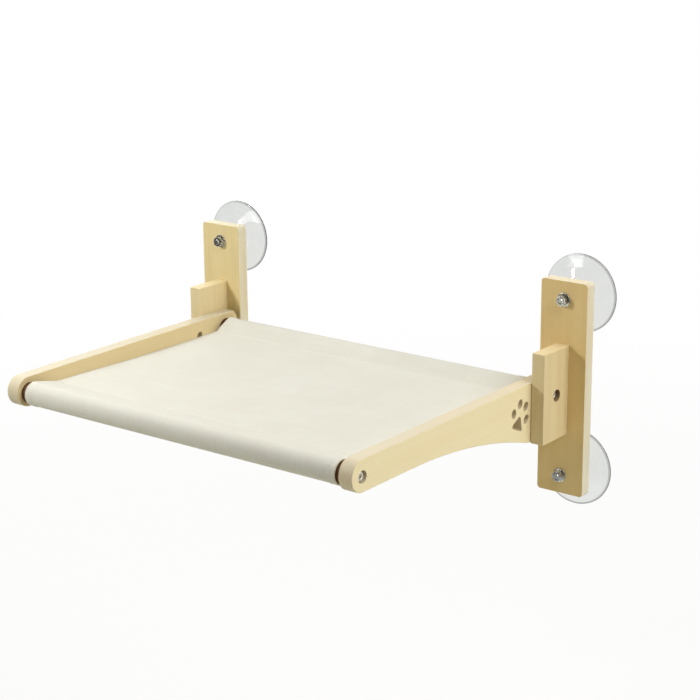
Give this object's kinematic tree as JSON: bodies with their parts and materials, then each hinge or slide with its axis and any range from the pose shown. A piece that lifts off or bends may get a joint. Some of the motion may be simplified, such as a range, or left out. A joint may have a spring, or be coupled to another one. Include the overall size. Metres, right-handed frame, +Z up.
{
  "type": "window mounted cat perch",
  "caption": "Folding wooden cat perch with a canvas sling on dowels, held on a window pane by suction cups.",
  "frame": {"origin": "on the window glass, in the middle between the four suction cups", "axes": "+X along the window to the right as seen from the room, +Y into the glass, +Z up; the perch stands out towards -Y"},
  "size_m": [0.549, 0.3835, 0.274],
  "materials": {
    "upright_wood": "satin",
    "bracket_wood": "satin",
    "arm_wood": "satin",
    "dowel_wood": "satin",
    "canvas": "woven",
    "clear_vinyl": "gloss",
    "zinc_steel": "bright zinc",
    "bolt_steel": "satin",
    "screw_steel": "satin",
    "insert_brass": "satin",
    "washer_nylon": "matte"
  },
  "bodies": {
    "window_frame": {"left_upright": "upright_wood", "right_upright": "upright_wood", "left_bracket": "bracket_wood", "right_bracket": "bracket_wood", "left_bracket_screws": "screw_steel", "right_bracket_screws": "screw_steel", "left_top_cup": "clear_vinyl", "right_top_cup": "clear_vinyl", "left_bottom_cup": "clear_vinyl", "right_bottom_cup": "clear_vinyl", "left_top_stud": "zinc_steel", "right_top_stud": "zinc_steel", "left_bottom_stud": "zinc_steel", "right_bottom_stud": "zinc_steel", "left_top_washer": "zinc_steel", "right_top_washer": "zinc_steel", "left_bottom_washer": "zinc_steel", "right_bottom_washer": "zinc_steel", "left_top_nut": "zinc_steel", "right_top_nut": "zinc_steel", "left_bottom_nut": "zinc_steel", "right_bottom_nut": "zinc_steel"},
    "perch": {"left_arm": "arm_wood", "right_arm": "arm_wood", "front_dowel": "dowel_wood", "rear_dowel": "dowel_wood", "left_front_insert": "insert_brass", "right_front_insert": "insert_brass", "left_rear_insert": "insert_brass", "right_rear_insert": "insert_brass", "left_front_bolt": "bolt_steel", "right_front_bolt": "bolt_steel", "left_pivot_bolt": "bolt_steel", "right_pivot_bolt": "bolt_steel", "left_pivot_washer": "washer_nylon", "right_pivot_washer": "washer_nylon", "sling": "canvas"}
  },
  "joints": [
    {"name": "fold", "type": "hinge", "parent": "window_frame", "child": "perch", "pos_m": [0, -0.057, -0.0005], "axis": [-1, 0, 0], "range_deg": [0, 92]}
  ]
}
